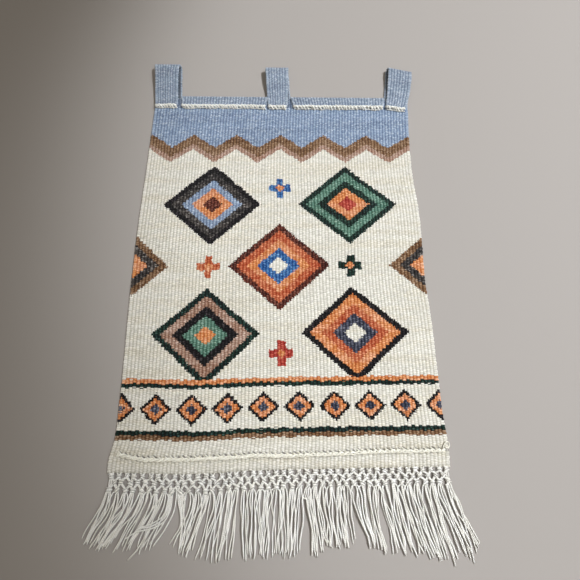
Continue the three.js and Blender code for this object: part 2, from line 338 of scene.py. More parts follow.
def closed_sheet(front, back, cloth, weave):
    """Points, faces and weave places of a sheet between two grids of points, over the cells that are cloth.

    A weave place is a warp, a length along it, and 0 on the front grid or 1 on the back one.
    """
    rows, columns = cloth.shape
    number = np.arange((rows + 1) * (columns + 1)).reshape(rows + 1, columns + 1)
    corners = (number[:-1, :-1], number[:-1, 1:], number[1:, 1:], number[1:, :-1])
    upper = np.stack(corners, -1)[cloth]
    faces = [upper, upper[:, ::-1] + number.size]
    padded = np.pad(cloth, 1)
    for side, (row_step, column_step) in enumerate(((-1, 0), (0, 1), (1, 0), (0, -1))):
        beside = padded[1 + row_step : 1 + row_step + rows, 1 + column_step : 1 + column_step + columns]
        rim = cloth & ~beside
        start = corners[side][rim]
        end = corners[(side + 1) % 4][rim]
        faces.append(np.stack([start + number.size, end + number.size, end, start], -1))
    used, faces = np.unique(np.concatenate(faces), return_inverse=True)
    points = np.concatenate([front.reshape(-1, 3), back.reshape(-1, 3)])
    places = np.concatenate([weave.reshape(-1, 3), weave.reshape(-1, 3) + (0, 0, 1)])
    return points[used], faces.reshape(-1, 4).tolist(), places[used]


class Yarns:
    """Round yarns gathered into one mesh."""

    def __init__(self, mark_name="yarn"):
        self.mark_name = mark_name
        self.points = []
        self.faces = []
        self.marks = []
        self.tones = []
        self.count = 0

    def add(self, line, across, deep=None, sides=8, hint=(0, 0, 1), tone=0.5, marks=None):
        """A yarn along a line, with its half width across the hint direction and its half depth along it."""
        line = np.asarray(line, float)
        steps = len(line)
        across = np.broadcast_to(across, steps)
        deep = across if deep is None else np.broadcast_to(deep, steps)
        way = unit(np.gradient(line, axis=0))
        hint = np.broadcast_to(np.asarray(hint, float), line.shape)
        up = unit(hint - (hint * way).sum(1, keepdims=True) * way)
        side = np.cross(way, up)
        angle = np.arange(sides) * 2 * math.pi / sides
        ring = line[:, None] + side[:, None] * (across[:, None] * np.cos(angle))[..., None]
        ring = ring + up[:, None] * (deep[:, None] * np.sin(angle))[..., None]
        number = self.count + np.arange(steps * sides).reshape(steps, sides)
        beside = np.roll(number, -1, axis=1)
        walls = np.stack([number[:-1], number[1:], beside[1:], beside[:-1]], -1)
        self.faces += walls.reshape(-1, 4).tolist()
        self.faces.append(number[0].tolist())
        self.faces.append(number[-1][::-1].tolist())
        mark = np.empty((steps, sides, 3))
        mark[..., 0] = np.cos(angle)
        mark[..., 1] = np.sin(angle)
        mark[..., 2] = distances(line)[:, None]
        if marks is not None:
            mark[:] = marks[:, None]
        self.points.append(ring.reshape(-1, 3))
        self.marks.append(mark.reshape(-1, 3))
        self.tones.append(np.full(steps * sides, tone))
        self.count += steps * sides

    def piece(self, name, material):
        marks = {self.mark_name: np.concatenate(self.marks), "tone": np.concatenate(self.tones)}
        return make_mesh(name, np.concatenate(self.points), self.faces, marks, material)


# ---- Panel and tabs ----

def woven_piece(name, seed, middle, facing, weave, cloth, material):
    """Ribbed cloth round its middle surface: thin between two ribs and full over a rib's middle."""
    crests = np.random.default_rng(seed).uniform(*CREST_PARTS, WARPS)
    warp = weave[0, :, 0]
    rib = np.clip(np.floor(warp).astype(int), 0, WARPS - 1)
    half = mix(VALLEY, CREST * crests[rib], np.abs(np.sin(math.pi * warp)) ** RIB_ROUNDNESS)
    outward = facing * half[:, None]
    points, faces, places = closed_sheet(middle + outward, middle - outward, cloth, weave)
    return make_mesh(name, points, faces, {"weave": places}, material)


def panel_piece(material):
    warp = np.arange(WARPS * RIB_STEPS + 1) / RIB_STEPS
    rows = BASE_ROWS + FOLD_ROWS + HEM_ROWS
    middle = np.zeros((rows + 1, len(warp), 3))
    facing = np.zeros_like(middle)
    weave = np.zeros_like(middle)
    weave[..., 0] = warp
    cloth = np.ones((rows, len(warp) - 1), bool)
    cloth[BASE_ROWS:] = False

    for row in range(BASE_ROWS + 1):
        middle[row] = panel_place(warp, row / BASE_ROWS)
        weave[row, :, 1] = BASE_LENGTH * row / BASE_ROWS
    facing[: BASE_ROWS + 1, :, 2] = 1
    for hem in HEMS:
        columns = slice(hem["first"] * RIB_STEPS, hem["last"] * RIB_STEPS + 1)
        cloth[BASE_ROWS:, columns.start : columns.stop - 1] = True
        for step in range(1, FOLD_ROWS + HEM_ROWS + 1):
            row = BASE_ROWS + step
            turn = math.pi * min(step / FOLD_ROWS, 1)
            part = max(step - FOLD_ROWS, 0) / HEM_ROWS
            place = hem_place(hem, warp[columns], part) if part else fold_place(hem, warp[columns], turn)
            middle[row, columns] = place
            facing[row, columns, 1:] = -math.sin(turn), math.cos(turn)
            weave[row, columns, 1] = BASE_LENGTH + FOLD_RADIUS * turn + (HEM_DEPTH - FOLD_OUTER) * part
    return woven_piece("panel_cloth", SEEDS["panel"], middle, facing, weave, cloth, material)


def tab_grid(tab, warp):
    across = (warp - tab["first"]) / (tab["last"] - tab["first"])
    places = [tab_place(tab, across, station) for station in tab_stations()]
    middle = np.array([place for place, _ in places])
    inner = np.array([way for _, way in places])
    return middle, inner, BASE_LENGTH + distances(middle[:, len(warp) // 2])


def tab_piece(tab, material):
    warp = np.arange(tab["first"] * RIB_STEPS, tab["last"] * RIB_STEPS + 1) / RIB_STEPS
    middle, inner, along = tab_grid(tab, warp)
    weave = np.zeros_like(middle)
    weave[..., 0] = warp
    weave[..., 1] = along[:, None]
    cloth = np.ones((middle.shape[0] - 1, middle.shape[1] - 1), bool)
    return woven_piece(f"tab_cloth_{tab['name']}", tab["first"], middle, inner, weave, cloth, material)


# ---- Node helpers ----

class Num:
    """A number worked out by shader nodes. It takes the ordinary operators, and & and | join masks."""

    def __init__(self, tree, socket):
        self.tree = tree
        self.socket = socket

    def op(self, kind, *others):
        return Num(self.tree, add_node(self.tree, "Math", (self, *others), operation=kind).outputs[0])

    def __rsub__(self, other):
        return self * -1.0 + other

    __add__ = __radd__ = partialmethod(op, "ADD")
    __sub__ = partialmethod(op, "SUBTRACT")
    __mul__ = __rmul__ = partialmethod(op, "MULTIPLY")
    __truediv__ = partialmethod(op, "DIVIDE")
    __abs__ = partialmethod(op, "ABSOLUTE")
    __lt__ = partialmethod(op, "LESS_THAN")
    __gt__ = partialmethod(op, "GREATER_THAN")
    __and__ = partialmethod(op, "MULTIPLY")
    __or__ = partialmethod(op, "MAXIMUM")
    floor = partialmethod(op, "FLOOR")
    part = partialmethod(op, "FRACT")
    wave = partialmethod(op, "PINGPONG")
    power = partialmethod(op, "POWER")

    def between(self, low, high):
        """Rises smoothly from 0 to 1 as the number goes from low to high."""
        inputs = {"Value": self, "From Min": low, "From Max": high}
        node = add_node(self.tree, "MapRange", inputs, interpolation_type="SMOOTHSTEP")
        return Num(self.tree, node.outputs["Result"])


def feed(tree, value, socket):
    if isinstance(value, Num):
        value = value.socket
    if isinstance(value, bpy.types.NodeSocket):
        tree.links.new(value, socket)
    else:
        socket.default_value = value


def add_node(tree, kind, inputs, **settings):
    """A new shader node. Its inputs are numbers or other nodes' outputs, in their order or by name."""
    node = tree.nodes.new("ShaderNode" + kind)
    for setting, value in settings.items():
        setattr(node, setting, value)
    for name, value in inputs.items() if isinstance(inputs, dict) else enumerate(inputs):
        feed(tree, value, node.inputs[name])
    return node


def vector(tree, x, y, z=0.0):
    return add_node(tree, "CombineXYZ", (x, y, z)).outputs[0]


def noise(tree, place, detail=2.0, scale=1.0):
    inputs = {"Vector": vector(tree, *place), "Scale": scale, "Detail": detail}
    return Num(tree, add_node(tree, "TexNoise", inputs).outputs["Fac"])


def scatter(tree, x, y):
    """A different number from 0 to 1 at each different place."""
    return Num(tree, add_node(tree, "TexWhiteNoise", {"Vector": vector(tree, x, y)}).outputs["Value"])


def stored(tree, name):
    """The three numbers that a mesh holds at each of its points, or its one number three times."""
    place = add_node(tree, "Attribute", (), attribute_name=name).outputs["Vector"]
    return [Num(tree, socket) for socket in add_node(tree, "SeparateXYZ", (place,)).outputs]


def linear(colour):
    """A colour given as sRGB numbers from 0 to 255, as the shader wants it."""
    parts = np.array(colour) / 255
    return np.where(parts <= 0.04045, parts / 12.92, ((parts + 0.055) / 1.055) ** 2.4).tolist() + [1.0]


def blend_colours(tree, part, low, high):
    return add_node(tree, "Mix", {"Factor": part, "A": low, "B": high}, data_type="RGBA").outputs["Result"]


def shaded(tree, colour, factor):
    """A colour made darker or lighter by a factor."""
    return add_node(tree, "VectorMath", {0: colour, "Scale": factor}, operation="SCALE").outputs[0]


def crevice_shaded(tree, colour, depth):
    """A colour darkened by painted shade, as it looks in a crevice, where light meets it more than once and
    dark dyes lose the most.
    """
    return add_node(tree, "Gamma", (colour, depth)).outputs[0]


def colour_table(tree, index, colours):
    """The colour at a whole number in a list."""
    count = len(colours)
    node = add_node(tree, "ValToRGB", {"Fac": (index + 0.5) / count})
    ramp = node.color_ramp
    ramp.interpolation = "CONSTANT"
    while len(ramp.elements) < count:
        ramp.elements.new(0.5)
    for place, colour in enumerate(colours):
        ramp.elements[place].position = place / count
        ramp.elements[place].color = linear(colour)
    return node.outputs["Color"]


def cloth_shader(name):
    """A new wool material, its node tree and its shader."""
    material = bpy.data.materials.new(name)
    material.use_nodes = True
    tree = material.node_tree
    shader = tree.nodes["Principled BSDF"]
    shader.inputs["Specular IOR Level"].default_value = 0.2
    shader.inputs["Sheen Weight"].default_value = 0.25
    shader.inputs["Sheen Roughness"].default_value = 0.45
    return material, tree, shader


def finish_wool(tree, shader, colour, rough, height):
    """The shader's colour and roughness, and fine relief from a height in millimetres."""
    relief = add_node(tree, "Bump", {"Strength": 1.0, "Distance": MM, "Height": height})
    for name, value in (("Base Color", colour), ("Roughness", rough), ("Normal", relief.outputs["Normal"])):
        feed(tree, value, shader.inputs[name])


# ---- Dyes and the woven design ----

DYES = {  # the dye, its other dye lot, which shows in bands, and the flecks spun into its yarn
    "cream": ((240, 237, 227), (235, 230, 216), (222, 218, 209)),
    "light_blue": ((166, 182, 203), (156, 171, 192), (198, 208, 216)),
    "pale_blue": ((171, 183, 197), (161, 172, 187), (202, 209, 215)),
    "brown": ((156, 126, 98), (132, 100, 70), (188, 164, 140)),
    "rose": ((192, 166, 150), (176, 142, 122), (212, 192, 178)),
    "dark_green": ((34, 62, 52), (24, 46, 44), (64, 92, 80)),
    "black": ((26, 24, 27), (40, 34, 38), (72, 66, 66)),
    "charcoal": ((70, 66, 65), (92, 86, 82), (158, 152, 146)),
    "orange": ((224, 156, 102), (228, 172, 136), (240, 190, 150)),
    "rust": ((200, 112, 76), (206, 132, 96), (226, 160, 122)),
    "red": ((184, 76, 68), (198, 98, 82), (214, 128, 110)),
    "cobalt": ((70, 120, 174), (88, 136, 184), (130, 166, 200)),
    "slate": ((78, 82, 98), (96, 98, 112), (134, 136, 144)),
    "sea_green": ((124, 158, 142), (100, 138, 122), (166, 188, 172)),
    "maroon": ((96, 52, 42), (120, 66, 50), (150, 100, 84)),
}
DYE_NUMBER = {dye: number for number, dye in enumerate(DYES)}


def painted(index, mask, dye):
    """The dye numbers with one more dye where the mask is 1."""
    return mask.op("MULTIPLY_ADD", DYE_NUMBER[dye] - index, index)


def diamond(x, y, centre, half):
    """0 in the middle of a diamond and 1 on its outline."""
    return abs(x - centre[0]) / half[0] + abs(y - centre[1]) / half[1]


def cross(x, y, centre, arm, half):
    """Under 1 inside an upright cross."""
    across = abs(x - centre[0])
    up = abs(y - centre[1])
    level = (across / arm) | (up / half)
    upright = (across / half) | (up / arm)
    return level.op("MINIMUM", upright)


MEDALLIONS = (
    ((-146, 530), ("black", "charcoal", "light_blue", "orange", "maroon")),
    ((146, 530), ("dark_green", "sea_green", "dark_green", "orange", "red")),
    ((0, 386), ("maroon", "rust", "orange", "cobalt", "cream")),
    ((-146, 244), ("dark_green", "rose", "black", "sea_green", "orange")),
    ((146, 244), ("black", "orange", "rust", "slate", "cream")),
)
MEDALLION_HALF = (106, 96)
RING_LIMITS = (1.0, 0.84, 0.62, 0.42, 0.2)
SIDE_DIAMONDS = ((-298, 386), (298, 386))
SIDE_HALF = (72, 66)
SIDE_RINGS = ((1.0, "brown"), (0.72, "charcoal"), (0.4, "orange"))
SMALL_CROSSES = (
    ((0, 570), "cobalt"),
    ((0, 205), "red"),
    ((-146, 386), "rust"),
    ((146, 386), "dark_green"),
)
CROSS_ARM = 24
CROSS_HALF = 8
CROSS_HEART = (10, 9)
ZIGZAG_STEP = 49.6
ZIGZAG_SLOPE = 0.72
UPPER_BANDS = ((636, "rose"), (650, "brown"), (676, "light_blue"))
LOWER_FIELD = ((60, 154, "rose"), (70, 144, "cream"))
LOWER_STRIPES = ((54, 62, "brown"), (62, 70, "dark_green"), (144, 152, "dark_green"), (152, 160, "orange"))
LOWER_STEP = 33
LOWER_MIDDLE = 107
LOWER_HALF = (30, 28)
LOWER_RINGS = ((1.0, "black"), (0.74, "orange"), (0.36, "slate"))


def paint_rings(index, near, rings):
    """The rings of a diamond, each painted over the one round it."""
    for limit, dye in rings:
        index = painted(index, near < limit, dye)
    return index


def paint_stripes(index, y, stripes):
    for low, high, dye in stripes:
        index = painted(index, (y > low) & (y < high), dye)
    return index


def paint_field(index, x, y):
    for centre, dyes in MEDALLIONS:
        index = paint_rings(index, diamond(x, y, centre, MEDALLION_HALF), zip(RING_LIMITS, dyes))
    for centre in SIDE_DIAMONDS:
        index = paint_rings(index, diamond(x, y, centre, SIDE_HALF), SIDE_RINGS)
    for centre, dye in SMALL_CROSSES:
        index = painted(index, cross(x, y, centre, CROSS_ARM, CROSS_HALF) < 1, dye)
        index = painted(index, diamond(x, y, centre, CROSS_HEART) < 1, "orange")
    return index


def paint_upper_bands(index, x, y):
    height = y - (x + ZIGZAG_STEP).wave(ZIGZAG_STEP) * ZIGZAG_SLOPE
    for low, dye in UPPER_BANDS:
        index = painted(index, height > low, dye)
    return painted(index, y > BASE_LENGTH, "pale_blue")


def paint_lower_band(index, x, y):
    near = (x + LOWER_STEP).wave(LOWER_STEP) / LOWER_HALF[0] + abs(y - LOWER_MIDDLE) / LOWER_HALF[1]
    index = paint_rings(paint_stripes(index, y, LOWER_FIELD), near, LOWER_RINGS)
    return paint_stripes(index, y, LOWER_STRIPES)


def tapestry_design(x, y):
    """The dye number at a place of the panel: bands and stepped medallions on a cream field."""
    index = paint_field(x * 0.0, x, y)
    index = paint_lower_band(index, x, y)
    return paint_upper_bands(index, x, y)


def plain_blue(x, _):
    return x * 0.0 + float(DYE_NUMBER["pale_blue"])


# Painted shade along the twined row: where its dark dashes lie, and the reach of its soft painted shadow.
HOLE_SLANT = 7.0
HOLE_LOW = 1.5
HOLE_HIGH = 3.2
GROOVE_START = (-6.0, -1.0)
GROOVE_STOP = (3.0, 7.0)
GROOVE_SHADE = 0.4


def twined_shade(tree, x, path):
    """Painted shade above the twined row, from 0 to 1: a soft painted shadow along it, and painted shadows in
    the small openings that it pulls in the weft above it.
    """
    row = x * (TWINED_LINE[1] - BOTTOM_SLOPE) + TWINED_LINE[0]
    for rises, sign in ((TWINED_WAVES, 1.0), (BOTTOM_WAVES, -1.0)):
        for across, reach, rise in rises:
            away = (x - across) / reach
            row = row + (away * away * -1.0).op("EXPONENT") * (sign * rise)
    wide = noise(tree, (x * 0.05, 9.0))
    part = (x / TWINED_PITCH + wide * 1.6).part() - 0.5
    above = path - row + part * HOLE_SLANT
    missed = noise(tree, (x * 0.06, 0.0))
    dash = abs(part) < wide * 0.9 - 0.14
    hole_shadow = dash & (above > HOLE_LOW) & (above < wide * 5.0 + HOLE_HIGH) & (missed > 0.4)
    groove_shadow = above.between(*GROOVE_START) * (1.0 - above.between(*GROOVE_STOP))
    return (hole_shadow | (groove_shadow * GROOVE_SHADE)) * (x > TWINED_ENDS[0] + 8.0)


STRIPS = ((8.4, 0.9), (46.4, 0.8), (80.5, 0.5))  # middle warp, half width
STRIP_FOOT = (789.0, 792.0)
STRIP_SHADE = 0.62


def strip_shade(warp, path):
    """The painted shade in the narrow strips of the panel that lie between a tab and the hem beside it, where
    little light falls.
    """
    shade = warp * 0.0
    for middle, half in STRIPS:
        shade = shade | (abs(warp - middle) < half)
    return shade * (path < BASE_LENGTH) * path.between(*STRIP_FOOT) * STRIP_SHADE


# How bright the painted shade leaves the inner side of a tab's loop.
TAB_INNER_SHADE = 0.42
# How dark the painted shade along the twined row and in the strips beside the tabs is.
PAINTED_SHADE_STRENGTH = 0.62
# How dark the painted shade in the crevices between ribs and beads is.
CREVICE_SHADE = 0.34
LOT_LIMITS = (0.42, 0.62)
FLECK_LIMITS = (0.88, 0.94)
FLECK_PART = 0.55
STREAK_LIMITS = (0.56, 0.66)
STREAK_PART = 0.4


def dyes_at(tree, design, column, y, drift):
    """The design's dye at a place of the cloth, its other dye lot and its flecks."""
    x = (column * 0.5 + drift * 1.4 + (0.25 - WARPS / 2)) * PITCH
    index = design(x, y)
    return [colour_table(tree, index, colours) for colours in zip(*DYES.values())]


def wool_colour(tree, dyes, warp, path, bead, spot, fine):
    """Bands of another dye lot, and flecks spun into the weft."""
    band = noise(tree, (warp * 0.024, path * 0.045), 3.0)
    lot = (band + (spot - 0.5) * 0.16).between(*LOT_LIMITS)
    streak = noise(tree, (warp * 0.22, bead * 1.7)).between(*STREAK_LIMITS)
    flecks = (fine.between(*FLECK_LIMITS) * FLECK_PART) | (streak * STREAK_PART)
    return blend_colours(tree, flecks, blend_colours(tree, lot, *dyes[:2]), dyes[2])


def weave_material(name, design, inner=1.0):
    """Weft-faced wool: beads of weft over upright ribs, dyed by a design. Painted shade may darken its inner
    side.
    """
    material, tree, shader = cloth_shader(name)
    warp, path, outside = stored(tree, "weave")
    rib = warp.floor()
    odd = rib.op("MODULO", 2.0)
    drift = noise(tree, (warp * 0.03, path * 0.008)) - 0.5
    uneven = drift * 2.5 + (noise(tree, (rib * 3.7, path * 0.06)) - 0.5) * 1.6
    pick = path / BEAD + odd * 0.5 + uneven
    bead = pick.floor()
    spot = scatter(tree, rib, bead)
    fine = scatter(tree, (warp * 2.0).floor(), (path * 0.52).floor())

    # The dye is even over each half of a bead, where a join between two colours falls.
    column = (warp * 2.0 + (spot - 0.5) * 0.7).floor()
    y = (bead + 0.5 - odd * 0.5 - uneven + (spot - 0.5) * 0.3) * BEAD
    colour = wool_colour(tree, dyes_at(tree, design, column, y, drift), warp, path, bead, spot, fine)

    # Heather in the yarn, painted shade between ribs and beads, and slow changes over the cloth.
    heather = noise(tree, (warp * 2.6, path * 0.7), 3.0) - 0.5
    slow = noise(tree, (warp * 0.08, path * 0.012)) - 0.5
    crest = (warp.part() * math.pi).op("SINE")
    swell = (pick.part() * math.pi).op("SINE")
    crevice = (1.0 - crest.power(0.8)) * 0.68 + (1.0 - swell.power(0.6)) * 0.42
    colour = crevice_shaded(tree, colour, crevice * 1.1 + (0.5 - spot) * 0.25 + (0.5 - fine) * 0.45 + 1.0)
    tone = (spot - 0.5) * 0.14 + (fine - 0.5) * 0.18 + heather * 0.36 + slow * 0.1 + 1.02
    # Painted shade along the twined row and in the strips between tabs and hems.
    painted_shade = twined_shade(tree, (warp - WARPS / 2) * PITCH, path) | strip_shade(warp, path)
    shade = (1.0 - crevice * CREVICE_SHADE) * tone * (1.0 - painted_shade * PAINTED_SHADE_STRENGTH)
    # Painted shade on the inner side of a tab's loop.
    colour = shaded(tree, colour, shade * (outside * (1.0 - inner) + inner))

    fibre = noise(tree, (warp * 9.0, path * 2.2), 4.0)
    height = swell.power(0.6) * crest.power(0.4) * 0.6 + fibre * 0.25
    finish_wool(tree, shader, colour, 0.86 + heather * 0.2, height)
    return material


def yarn_material(name, first, second, pitch, crease_shade=0.3, under_shade=0.35):
    """Wool yarn of two plies that turn round each other, with uneven fibre, painted shade where the plies
    meet, and painted shade low on its sides.
    """
    material, tree, shader = cloth_shader(name)
    cosine, sine, along = stored(tree, "yarn")
    tone, _, _ = stored(tree, "tone")
    turn = along * (2 * math.pi / pitch)
    ply = abs(cosine * turn.op("COSINE") + sine * turn.op("SINE"))
    heather = noise(tree, (cosine * 0.8, sine * 0.8, along * 0.5), 3.0, scale=2.2) - 0.5
    slow = noise(tree, (tone * 71.0, along * 0.12, tone * 13.0))
    aged = (slow * 0.6 + tone * 0.5).between(0.25, 0.85)
    colour = blend_colours(tree, aged, linear(first), linear(second))
    # Painted shade where the plies meet, and low on each yarn's sides.
    shade = (ply.between(0.0, 0.55) * crease_shade + (1.04 - crease_shade)) * (heather * 0.3 + 1.0)
    shade = shade * (sine.between(-0.5, 0.8) * under_shade + (1.0 - under_shade))
    height = ply.power(0.7) * 0.45 + heather * 0.2
    finish_wool(tree, shader, shaded(tree, colour, shade), 0.85 + heather * 0.2, height)
    return material


# ---- Selvedges ----

EDGE_RADIUS = 1.95
EDGE_INSET = 0.9
LUMP_LENGTH = 2 * BEAD
LUMP = 0.55
SIDE_POINTS = 400
HEM_EDGE_POINTS = (8, 12)
HEM_LENGTH = 32


def add_selvedge(yarns, line, warp, path, inward, rng):
    """A lumpy edge bundle, where the wefts turn back round the outer warp, dyed as the cloth beside it."""
    line = line + (inward * EDGE_INSET, 0, 0)
    even, _ = resampled(np.concatenate([line, path[:, None]], 1), BEAD / 3)
    path = even[:, 3]
    lump = LUMP * np.cos(path * 2 * math.pi / LUMP_LENGTH)
    stops = np.arange(path[0], path[-1] + LUMP_LENGTH, LUMP_LENGTH)
    lump += np.interp(path, stops, rng.uniform(-LUMP, LUMP, len(stops)))
    marks = np.stack([np.full(len(path), warp), path, np.ones(len(path))], -1)
    yarns.add(even[:, :3], EDGE_RADIUS, EDGE_RADIUS + lump, hint=(1, 0, 0), marks=marks)


def hem_edge(hem, warp):
    """The line of a hem's short side, round its fold and down its turned layer."""
    fold = [fold_place(hem, warp, turn) for turn in math.pi * np.linspace(0, 1, HEM_EDGE_POINTS[0])]
    layer = [hem_place(hem, warp, part) for part in np.linspace(0.05, 1, HEM_EDGE_POINTS[1])]
    return np.array(fold + layer)


def panel_selvedges(material):
    rng = np.random.default_rng(SEEDS["selvedges"])
    yarns = Yarns("weave")
    part = np.linspace(0, 1, SIDE_POINTS)
    for warp, mark, inward in ((0, 0.5, 1), (WARPS, WARPS - 0.5, -1)):
        line = panel_place(np.full(SIDE_POINTS, float(warp)), part)
        add_selvedge(yarns, line, mark, part * BASE_LENGTH, inward, rng)
    for hem in HEMS:
        for end, inward in (("first", 1), ("last", -1)):
            line = hem_edge(hem, np.float64(hem[end]))
            path = BASE_LENGTH + np.linspace(0, HEM_LENGTH, len(line))
            add_selvedge(yarns, line, hem[end] + inward * 0.5, path, inward, rng)
    return yarns.piece("panel_selvedges", material)


def tab_selvedges(tab, material):
    rng = np.random.default_rng(tab["last"])
    yarns = Yarns("weave")
    warp = np.array([tab["first"], (tab["first"] + tab["last"]) / 2, tab["last"]])
    middle, _, along = tab_grid(tab, warp)
    for column, inward in ((0, 1), (-1, -1)):
        add_selvedge(yarns, middle[:, column], warp[column] + inward * 0.5, along, inward, rng)
    return yarns.piece(f"tab_selvedges_{tab['name']}", material)


# ---- Sewn threads ----

SEAM_INWARD = 1.5
SEAM_UP = -1.3
SEAM_RISE = 8.5
SEAM_STEP = 8
SEAM_CORDS = (
    {"radius": 1.5, "across": 1.7, "deep": 0.9, "pitch": 16.0, "away": (0, 0, 0), "wander": 0.7},
    {"radius": 0.65, "across": 0.8, "deep": 0.5, "pitch": 10.0, "away": (0, -4.6, -2.9), "wander": 1.4},
)
STITCH_SPACING = (5.0, 9.2)
STITCH_RADIUS = (1.4, 2.0)
TWINED_POINTS = 90
TWINED_WANDER = 0.9
TWINED_STITCH_RADIUS = (1.2, 1.6)
TWINED_CORD = {"radius": 1.85, "across": 2.0, "deep": 1.2, "pitch": 2 * TWINED_PITCH}
LOOSE_LOOP = (
    (283, 32.6, 6), (285, 37.5, 6.6), (289.5, 42.5, 6.8),
    (294.2, 42, 5.6), (295.4, 36.5, 3.6), (292.6, 31.5, 3.2),
)


def add_rope(yarns, line, size, phase=0.0, tone=0.5):
    """Two uneven plies that turn round a line lying level."""
    line, along = resampled(line, size["pitch"] / 14)
    way = unit(np.gradient(line, axis=0))
    side = unit(np.cross(way, (0, 0, 1)))
    up = np.cross(side, way)
    for ply in range(2):
        angle = phase + 2 * math.pi * (along / size["pitch"] + ply / 2)
        aside = side * (size["across"] * np.cos(angle))[:, None]
        raised = up * (size["deep"] * np.sin(angle))[:, None]
        slow_swell = 0.14 * np.sin(along * 0.23 + 2 * ply + phase)
        quick_swell = 0.1 * np.sin(along * 0.61 + ply)
        thick = size["radius"] * (1 + slow_swell + quick_swell)
        yarns.add(line + aside + raised, thick, tone=tone + 0.3 * ply)


def seam_ends():
    """Where each sewn-down edge starts and ends, by the name of its CAD node."""
    ends = {}
    for tab in TABS:
        ends[f"seam_tab_{tab['name']}"] = tab["end"]
    for hem in HEMS:
        places = [hem_place(hem, np.float64(warp), 1.0) for warp in (hem["first"], hem["last"])]
        ends[f"seam_hem_{hem['name']}"] = tuple((place[0], place[1]) for place in places)
    return ends


def add_stitch(yarns, points, step, radius, rng, sides=6):
    """A short yarn through a few points."""
    yarns.add(smooth_line(points, step), rng.uniform(*radius), sides=sides, tone=rng.uniform(0, 1))


def add_seam_stitch(yarns, x, y, rng):
    slant = rng.uniform(3.5, 8.0)
    reach = rng.uniform(3.4, 7.2)
    stitch = (
        (x - 3.0, y + rng.uniform(1.6, 2.8), SEAM_RISE + 0.2),
        (x, y - 0.4, SEAM_RISE + 1.9),
        (x + 0.55 * slant, y - 0.62 * reach, SEAM_RISE - 0.4),
        (x + slant, y - reach, CLOTH_THICK + 0.4),
    )
    add_stitch(yarns, stitch, 1.2, STITCH_RADIUS, rng, sides=8)


def seam_piece(node, ends, material):
    """Two cords laid along a sewn-down edge, a knot, and slanted stitches over them into the panel."""
    rng = np.random.default_rng(int(abs(ends[0][0])))
    yarns = Yarns()
    left = np.array([*ends[0], 0]) + (SEAM_INWARD, SEAM_UP, SEAM_RISE)
    right = np.array([*ends[1], 0]) + (-SEAM_INWARD, SEAM_UP, SEAM_RISE)
    steps = max(int((right[0] - left[0]) / SEAM_STEP), 4)
    line = mix(left, right, np.linspace(0, 1, steps)[:, None])
    lines = []
    for cord in SEAM_CORDS:
        line = line + cord["away"]
        line[:, 1] += rng.uniform(-cord["wander"], cord["wander"], steps)
        add_rope(yarns, line, cord, rng.uniform(0, 6), rng.uniform(0, 0.4))
        lines.append(line)
    upper = lines[0]
    add_knot(yarns, upper[0] + (1.0, -0.8, 0), 1.25, rng)
    x = left[0] + rng.uniform(3, 6)
    while x < right[0] - 5:
        add_seam_stitch(yarns, x, np.interp(x, upper[:, 0], upper[:, 1]), rng)
        x += rng.uniform(*STITCH_SPACING)
    return yarns.piece(node.replace("seam_", "sewing_"), material)


def twined_piece(material):
    """The twined cord, slanted stitches beside it, and its end, left loose as a small loop at the right."""
    rng = np.random.default_rng(SEEDS["twined_row"])
    yarns = Yarns()
    x = np.linspace(*TWINED_ENDS, TWINED_POINTS)
    y = twined_up(x) + rng.uniform(-TWINED_WANDER, TWINED_WANDER, TWINED_POINTS)
    line = np.stack([x, y, CLOTH_THICK + 1.9 + ripple_lift(x, y)], -1)
    add_rope(yarns, line, TWINED_CORD)
    for at in np.arange(TWINED_ENDS[0] + 6, TWINED_ENDS[1] - 2, TWINED_PITCH):
        at += rng.uniform(-1.5, 1.5)
        base = np.interp(at, x, y)
        reach = rng.uniform(4.0, 6.5)
        stitch = ((at + 3, base - 0.6, 7.0), (at, base + 0.4 * reach, 6.8), (at - 5, base + reach, 4.6))
        add_stitch(yarns, stitch, 1.0, TWINED_STITCH_RADIUS, rng)
    yarns.add(smooth_line(LOOSE_LOOP, 1.2), 0.95, tone=0.8)
    return yarns.piece("twined_row_yarn", material)


# ---- Fringe ----

KNOT_ROWS = (
    {"drop": 4.6, "first": 1, "size": 1.48},
    {"drop": 14.0, "first": 2, "size": 1.48},
    {"drop": 25.0, "first": 1, "size": 1.52},
)
KNOT_HEIGHT = 3.2
KNOT_ASIDE = 1.7
KNOT_UPWARD = 1.5
KNOT_CORE = (2.5, 3.2, 2.4)  # half width and half length for each unit of size, and half depth
WRAP = (2.7, 2.3, 2.2)  # the same
WRAP_RADIUS = 1.1
WRAP_TURNS = (1.4, 2.1)
WRAP_TILT = 0.8
LINK_RADIUS = (1.2, 1.65)
LINK_REACH = 10


def knot_places(row, rng):
    warps = np.arange(row["first"], WARPS, 2)
    x = warp_x(warps, 0.0) + rng.uniform(-KNOT_ASIDE, KNOT_ASIDE, len(warps))
    drop = row["drop"] * (1.02 - 0.0003 * x)
    y = bottom_edge(x) - drop + rng.uniform(-KNOT_UPWARD, KNOT_UPWARD, len(warps))
    return np.stack([x, y, np.full(len(warps), KNOT_HEIGHT)], -1)


